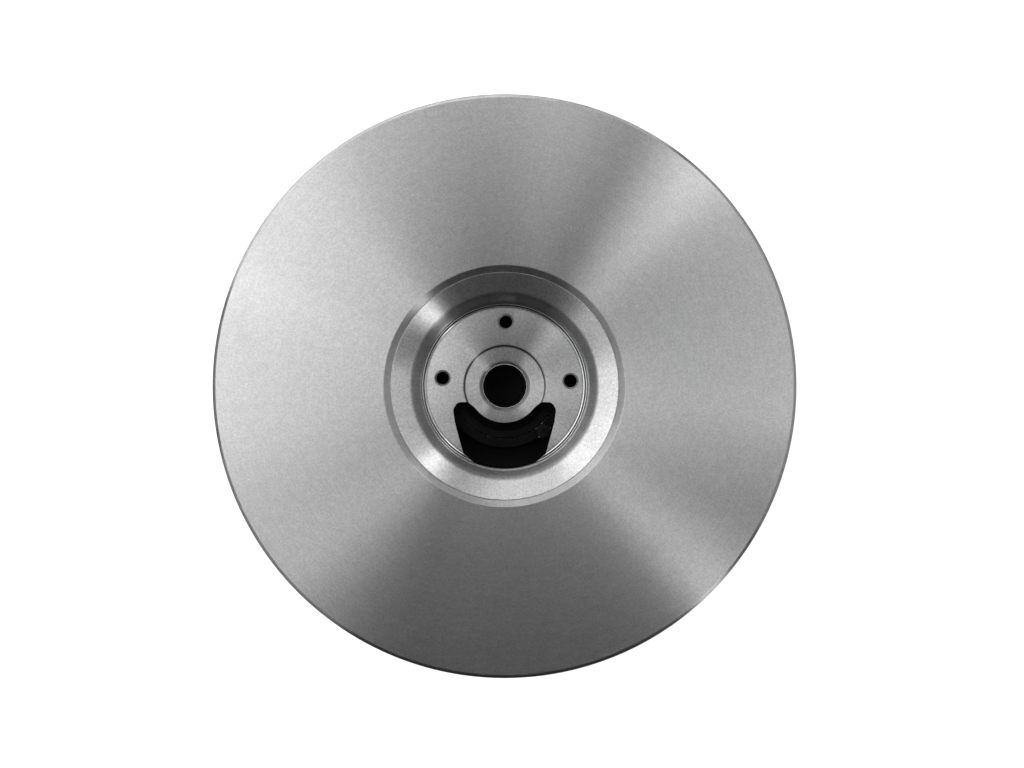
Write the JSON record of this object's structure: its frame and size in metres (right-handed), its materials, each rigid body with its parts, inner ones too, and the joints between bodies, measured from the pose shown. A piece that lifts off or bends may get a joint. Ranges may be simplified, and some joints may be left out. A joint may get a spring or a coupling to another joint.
{
  "type": "brake disc rotor",
  "caption": "Flat turned steel brake disc with a dished centre, a bored centre plate with a window beside the bore, and a sealed hub bearing behind.",
  "frame": {"origin": "on the axle's axis, at the rear collar's end face that the part stands on", "axes": "+Z along the axle towards the front friction face; the window lies towards -Y"},
  "size_m": [0.22, 0.22, 0.0365],
  "materials": {
    "turned_steel": "fine-turned satin steel",
    "spring_steel": "ground spring steel",
    "black_paint": "satin black paint",
    "bearing_steel": "ground and polished bearing steel",
    "seal_rubber": "moulded black rubber",
    "black_plastic": "moulded black plastic",
    "black_oxide": "oiled black oxide",
    "zinc": "bright zinc plate"
  },
  "bodies": {
    "axle_side": {"bearing_inner_ring": "bearing_steel", "front_axle_sleeve": "zinc", "rear_axle_collar": "zinc", "bore_dust_plug": "black_plastic", "rear_dust_cover": "black_paint", "dust_cover_rivet_1": "zinc", "dust_cover_rivet_2": "zinc", "dust_cover_rivet_3": "zinc"},
    "rotor": {"friction_disc": "turned_steel", "disc_carrier": "turned_steel", "centre_plate": "turned_steel", "plate_snap_ring": "spring_steel", "bearing_housing": "black_paint", "bearing_outer_ring": "bearing_steel", "bearing_seal_front": "seal_rubber", "bearing_seal_rear": "seal_rubber", "dust_seal": "seal_rubber", "disc_screw_1": "zinc", "disc_screw_2": "zinc", "disc_screw_3": "zinc", "disc_screw_4": "zinc", "disc_screw_5": "zinc", "disc_screw_6": "zinc", "disc_screw_7": "zinc", "disc_screw_8": "zinc", "housing_screw_1": "zinc", "housing_screw_2": "zinc", "housing_screw_3": "zinc", "housing_screw_4": "zinc", "housing_screw_5": "zinc", "housing_screw_6": "zinc", "bearing_retaining_screw_1": "black_oxide", "bearing_retaining_screw_2": "black_oxide", "bearing_retaining_screw_3": "black_oxide"},
    "ball_set": {"bearing_ball_1": "bearing_steel", "bearing_ball_2": "bearing_steel", "bearing_ball_3": "bearing_steel", "bearing_ball_4": "bearing_steel", "bearing_ball_5": "bearing_steel", "bearing_ball_6": "bearing_steel", "bearing_ball_7": "bearing_steel", "bearing_ball_8": "bearing_steel", "bearing_cage": "black_plastic"}
  },
  "joints": [
    {"name": "rotor_spin", "type": "hinge", "parent": "axle_side", "child": "rotor", "pos_m": [0, 0, 0.0124], "axis": [0, 0, 1], "continuous": true},
    {"name": "ball_set_spin", "type": "hinge", "parent": "axle_side", "child": "ball_set", "pos_m": [0, 0, 0.0124], "axis": [0, 0, 1], "continuous": true}
  ],
  "couplings": [
    {"joint": "ball_set_spin", "follows": "rotor_spin", "ratio": 0.616}
  ]
}
